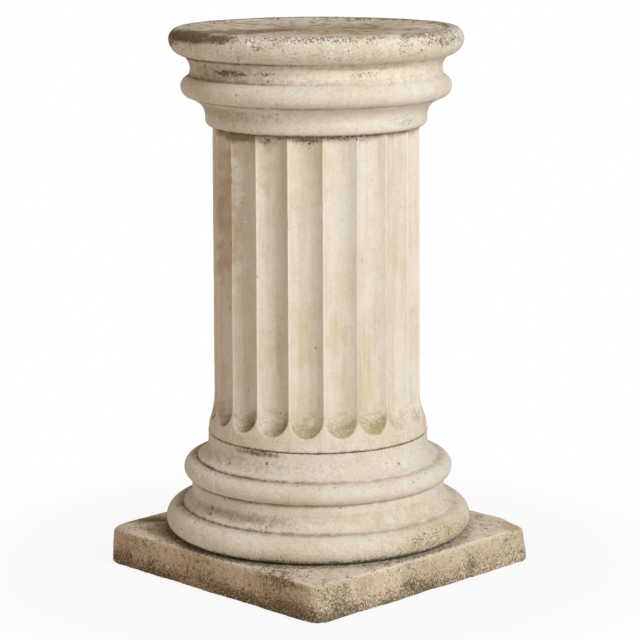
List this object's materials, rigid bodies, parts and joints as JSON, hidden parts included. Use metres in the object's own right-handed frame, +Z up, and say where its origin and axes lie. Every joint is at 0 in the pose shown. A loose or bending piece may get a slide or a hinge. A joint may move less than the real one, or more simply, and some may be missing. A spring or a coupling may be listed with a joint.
{
  "type": "fluted column pedestal",
  "caption": "Short fluted column pedestal of weathered cast stone, with a moulded square base and a round moulded capital.",
  "frame": {"origin": "centre of the plinth's underside", "axes": "+Z up along the column's axis; the plinth's sides lie along X and Y"},
  "size_m": [0.4, 0.4, 0.704],
  "materials": {
    "base_stone": "weathered",
    "shaft_stone": "weathered",
    "capital_stone": "weathered"
  },
  "bodies": {
    "root": {"base": "base_stone", "shaft": "shaft_stone", "capital": "capital_stone"}
  },
  "joints": []
}
